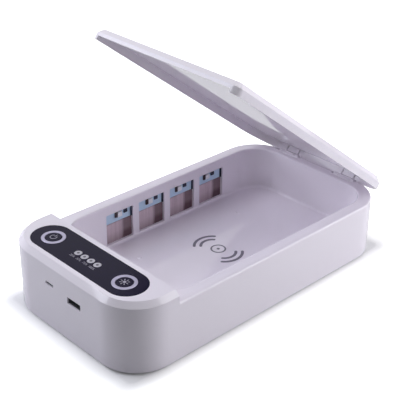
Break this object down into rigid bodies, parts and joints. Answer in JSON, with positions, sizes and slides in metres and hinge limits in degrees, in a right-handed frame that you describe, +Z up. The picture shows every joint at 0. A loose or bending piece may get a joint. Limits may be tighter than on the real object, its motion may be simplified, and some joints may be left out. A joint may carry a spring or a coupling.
{
  "type": "uv sanitizer box",
  "caption": "Long box with rounded corners, a hinged lid over a lit cavity for a phone, and a control panel with push buttons and ports at one end.",
  "frame": {"origin": "middle of the footprint, on the surface that the box stands on", "axes": "+X along the box from the control panel to the hinge, +Y to the left of a user who faces the panel, +Z up. The lid is drawn open by 37.5 degrees."},
  "size_m": [0.2309, 0.123, 0.1591],
  "materials": {
    "white_shell": "glossy white ABS",
    "black_gloss": "high gloss black",
    "bezel_metal": "satin plated ring",
    "light_clear": "frosted clear",
    "board_green": "solder resist",
    "board_white": "white solder resist",
    "lamp_white": "ceramic package",
    "reflector_bright": "bright rolled",
    "part_black": "moulded black",
    "port_steel": "plated shell",
    "screw_steel": "zinc plated",
    "coil_copper": "enamelled copper",
    "ferrite_grey": "sintered",
    "magnet_nickel": "nickel plated",
    "foot_rubber": "matt"
  },
  "bodies": {
    "base": {"base_cover": "white_shell", "base_screws": "screw_steel", "board_screws": "screw_steel", "button_bezels": "bezel_metal", "charger_board": "board_green", "charger_chips": "part_black", "charging_coil": "coil_copper", "control_board": "board_green", "control_chips": "part_black", "control_overlay": "black_gloss", "ferrite_sheet": "ferrite_grey", "hinge_pins": "screw_steel", "indicator_leds": "lamp_white", "lid_sensor": "part_black", "light_guide": "light_clear", "micro_usb_port": "port_steel", "micro_usb_tongue": "part_black", "reflector_left": "reflector_bright", "reflector_right": "reflector_bright", "rubber_feet": "foot_rubber", "tact_switches": "part_black", "upper_shell": "white_shell", "usb_a_port": "port_steel", "usb_a_tongue": "part_black", "uv_board_left": "board_white", "uv_board_right": "board_white", "uv_leds_left": "lamp_white", "uv_leds_right": "lamp_white"},
    "lid": {"lid_shell": "white_shell", "lid_magnet": "magnet_nickel"},
    "left_button": {"button_left": "black_gloss"},
    "right_button": {"button_right": "black_gloss"}
  },
  "joints": [
    {"name": "lid_hinge", "type": "hinge", "parent": "base", "child": "lid", "pos_m": [0.111, 0, 0.0397], "axis": [0, 1, 0], "range_deg": [-37.5, 7.5]},
    {"name": "left_button_press", "type": "slide", "parent": "base", "child": "left_button", "axis": [0, 0, 1], "range_m": [-0.0005, 0], "stiffness_N_per_m": 1500, "springref_m": 0.0005},
    {"name": "right_button_press", "type": "slide", "parent": "base", "child": "right_button", "axis": [0, 0, 1], "range_m": [-0.0005, 0], "stiffness_N_per_m": 1500, "springref_m": 0.0005}
  ]
}
